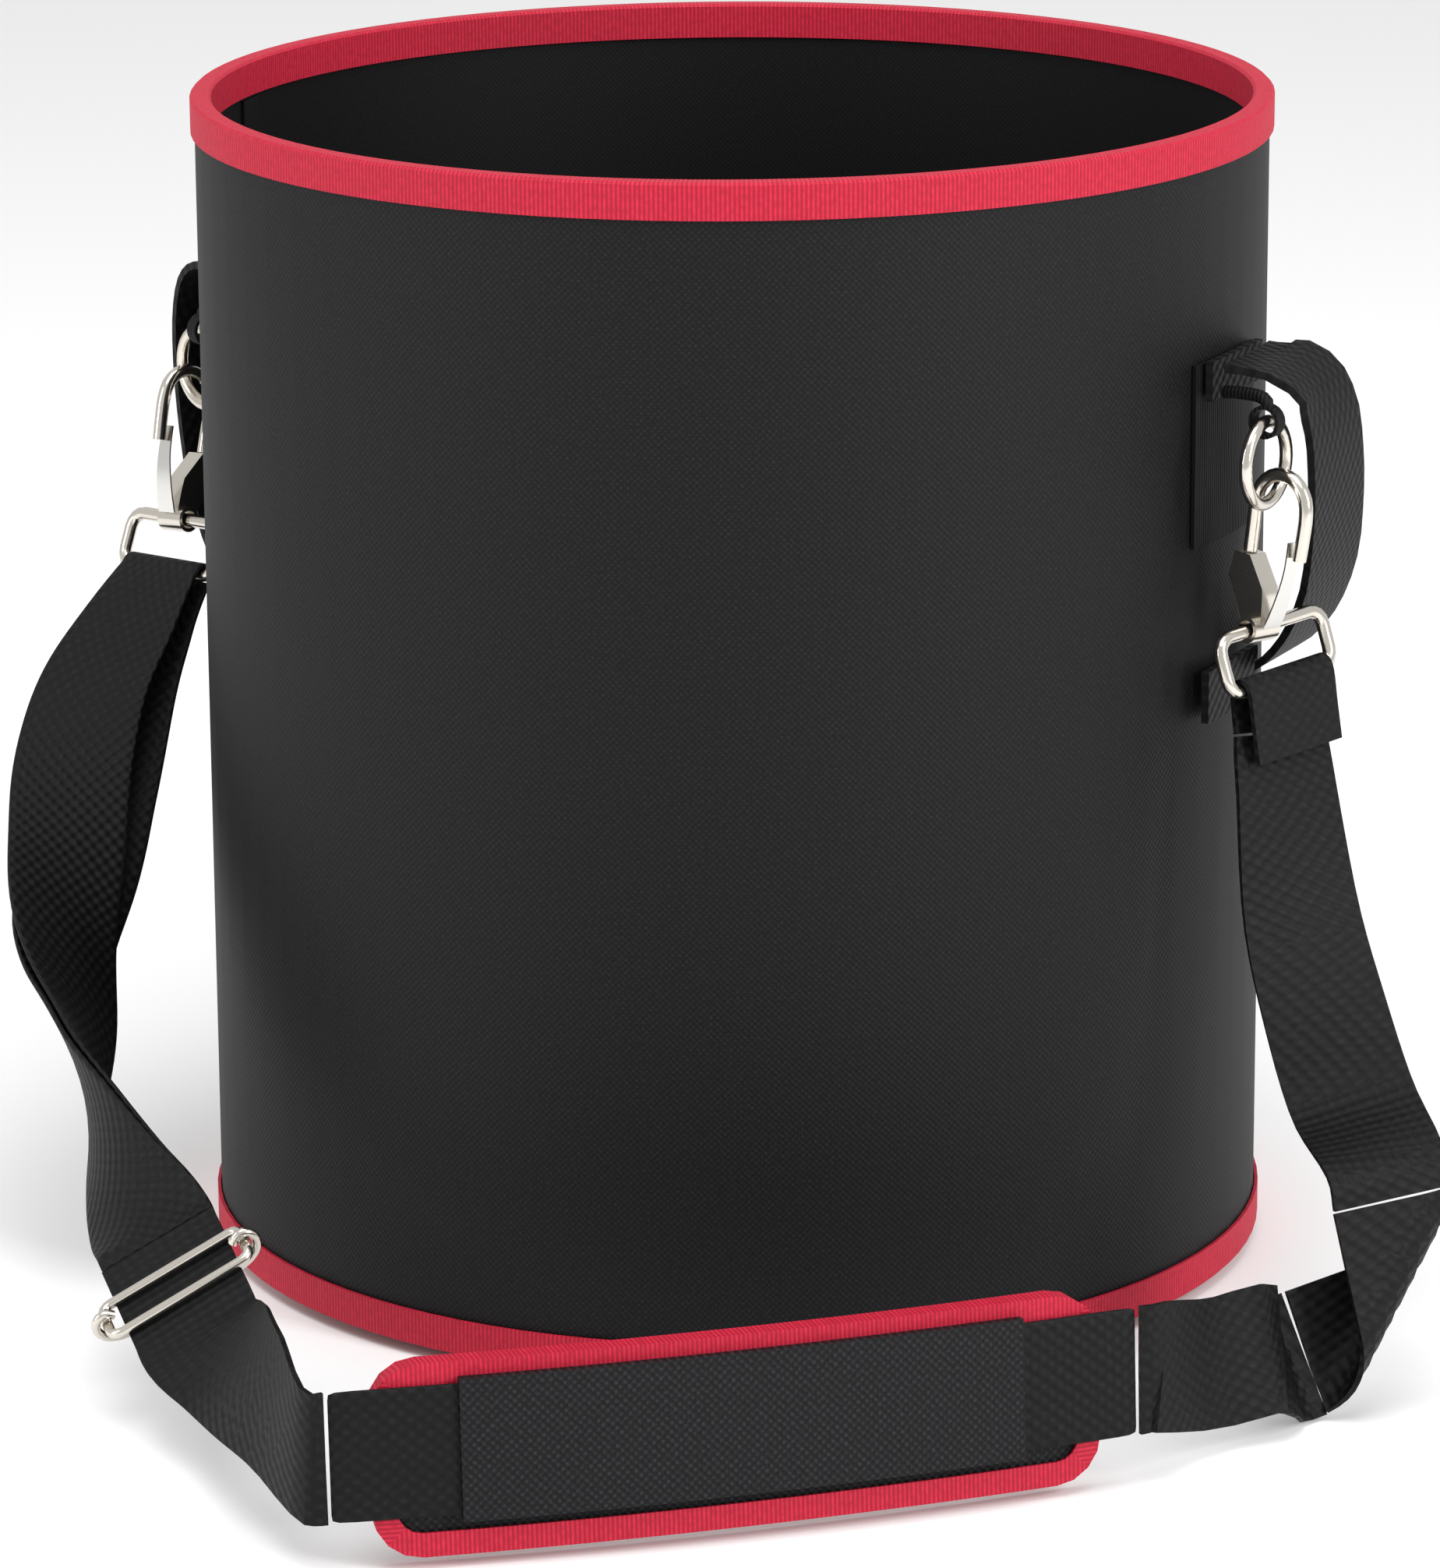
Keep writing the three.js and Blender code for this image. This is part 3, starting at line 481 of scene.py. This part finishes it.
def handleCloth(point, face):
    # round the arch and across it
    side = 1 if face.center.x > 0 else -1
    out, up = handleArch["out"], handleArch["up"]
    angle = angleBeside(point.x * side - out, point.z - up, face.center.x * side - out, face.center.z - up)
    return angle * handleArch["ribRadius"], point.y / mm


def buildHandles():
    for side in ("right", "left"):
        node = "handle_" + side
        piece = refined(node, "handle_webbing_" + side, webbing, angle=50)
        writeUv(piece, handleCloth)
        ride(piece, "bag", "webbing", node)


# shoulder pad

padLie = {
    "heading": 43.2,
    "middle": Vector((0.1296, -0.2514, 0.0286)),
    "halfLength": 107,
    "halfWidth": 28,
    "voxel": 1.4 * mm,
    "smoothing": 6,
}


def padAxes():
    turn = math.radians(padLie["heading"])
    return Vector((math.cos(turn), math.sin(turn), 0)), Vector((0, 0, 1))


def padCloth(point, face):
    alongPad, upPad = padAxes()
    p = point - padLie["middle"]
    return p.dot(alongPad) / mm, p.dot(upPad) / mm


def padEdge(point, face):
    u, v = padCloth(point, face)
    mu, mv = padCloth(face.center, face)
    onEnd = padLie["halfLength"] - abs(mu) < padLie["halfWidth"] - abs(mv)
    return (v, u) if onEnd else (u, v)


def buildPad():
    cushion = refined("pad_cushion", "pad_foam", sleeveCloth)
    choose(cushion)
    shell = cushion.modifiers.new("shell", "REMESH")
    shell.mode = "VOXEL"
    shell.voxel_size = padLie["voxel"]
    bpy.ops.object.modifier_apply(modifier="shell")
    ease = cushion.modifiers.new("ease", "SMOOTH")
    ease.iterations = padLie["smoothing"]
    bpy.ops.object.modifier_apply(modifier="ease")
    bpy.ops.object.shade_smooth()
    writeUv(cushion, padCloth)
    ride(cushion, "pad", "pad_cloth", "pad_cushion")
    tape = refined("pad_binding", "pad_edge_tape", redTape)
    writeUv(tape, padEdge)
    ride(tape, "pad", "binding_tape", "pad_binding")
    sleeve = refined("pad_sleeve", "pad_sleeve_cloth", sleeveCloth, angle=50)
    writeUv(sleeve, padCloth)
    ride(sleeve, "pad", "oxford", "pad_sleeve")


buildStudio(studio)
buildDrum()
print("drum made")
buildHardware()
print("hardware made")
buildStraps()
buildHandles()
print("straps made")
buildPad()
print("pad made")

bpy.context.view_layer.update()
